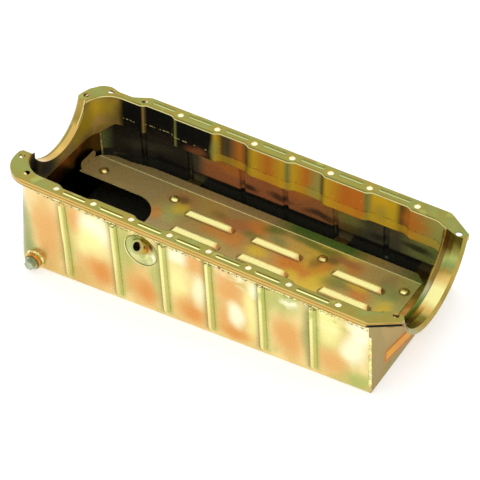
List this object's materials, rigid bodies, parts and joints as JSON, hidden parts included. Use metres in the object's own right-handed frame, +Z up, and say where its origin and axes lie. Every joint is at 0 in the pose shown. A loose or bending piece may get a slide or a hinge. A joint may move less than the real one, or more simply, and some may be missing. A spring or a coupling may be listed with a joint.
{
  "type": "engine oil pan",
  "caption": "Fabricated sheet-steel engine sump with a bolted rail flange, two round seal saddles, fluted side walls, a louvred windage tray, a dipstick boss and a drain plug.",
  "frame": {"origin": "on the rail plane and the crankshaft centre line, at the middle pair of rail bolts", "axes": "+X to the front of the engine, +Z up to the crankcase, -Y to the side with the dipstick pocket and the drain"},
  "size_m": [0.6185, 0.2634, 0.1633],
  "materials": {
    "rail_zinc": "glossy yellow chromate zinc plate on steel",
    "sump_zinc": "glossy yellow chromate zinc plate on steel",
    "end_plate_zinc": "glossy yellow chromate zinc plate on steel",
    "pocket_zinc": "glossy yellow chromate zinc plate on steel",
    "boss_zinc": "glossy yellow chromate zinc plate on steel",
    "bung_zinc": "glossy yellow chromate zinc plate on steel",
    "plug_zinc": "glossy yellow chromate zinc plate on steel",
    "tray_zinc": "glossy yellow chromate zinc plate on steel",
    "support_zinc": "glossy yellow chromate zinc plate on steel",
    "weld_bead": "glossy yellow chromate zinc plate on steel",
    "screw_zinc": "glossy yellow chromate zinc plate on steel",
    "washer_metal": "soft copper-coloured sealing washer"
  },
  "bodies": {
    "root": {"rail_frame": "rail_zinc", "sump_wrap": "sump_zinc", "front_end_plate": "end_plate_zinc", "rear_end_plate": "end_plate_zinc", "dipstick_pocket": "pocket_zinc", "dipstick_boss": "boss_zinc", "drain_bung": "bung_zinc", "drain_plug": "plug_zinc", "drain_washer": "washer_metal", "windage_tray": "tray_zinc", "tray_bracket_near": "support_zinc", "tray_bracket_far": "support_zinc", "cross_bar_rear": "support_zinc", "cross_bar_front": "support_zinc", "tray_ledge_front": "support_zinc", "rail_weld_near": "weld_bead", "rail_weld_far": "weld_bead", "front_corner_weld_near": "weld_bead", "front_corner_weld_far": "weld_bead", "rear_seam_weld": "weld_bead", "drain_weld": "weld_bead", "tray_screw_1": "screw_zinc", "weld_nut_1": "screw_zinc", "tray_screw_2": "screw_zinc", "weld_nut_2": "screw_zinc", "tray_screw_3": "screw_zinc", "weld_nut_3": "screw_zinc", "tray_screw_4": "screw_zinc", "weld_nut_4": "screw_zinc", "tray_screw_5": "screw_zinc", "weld_nut_5": "screw_zinc", "tray_screw_6": "screw_zinc", "weld_nut_6": "screw_zinc", "tray_screw_7": "screw_zinc", "weld_nut_7": "screw_zinc", "tray_screw_8": "screw_zinc", "weld_nut_8": "screw_zinc"}
  },
  "joints": []
}
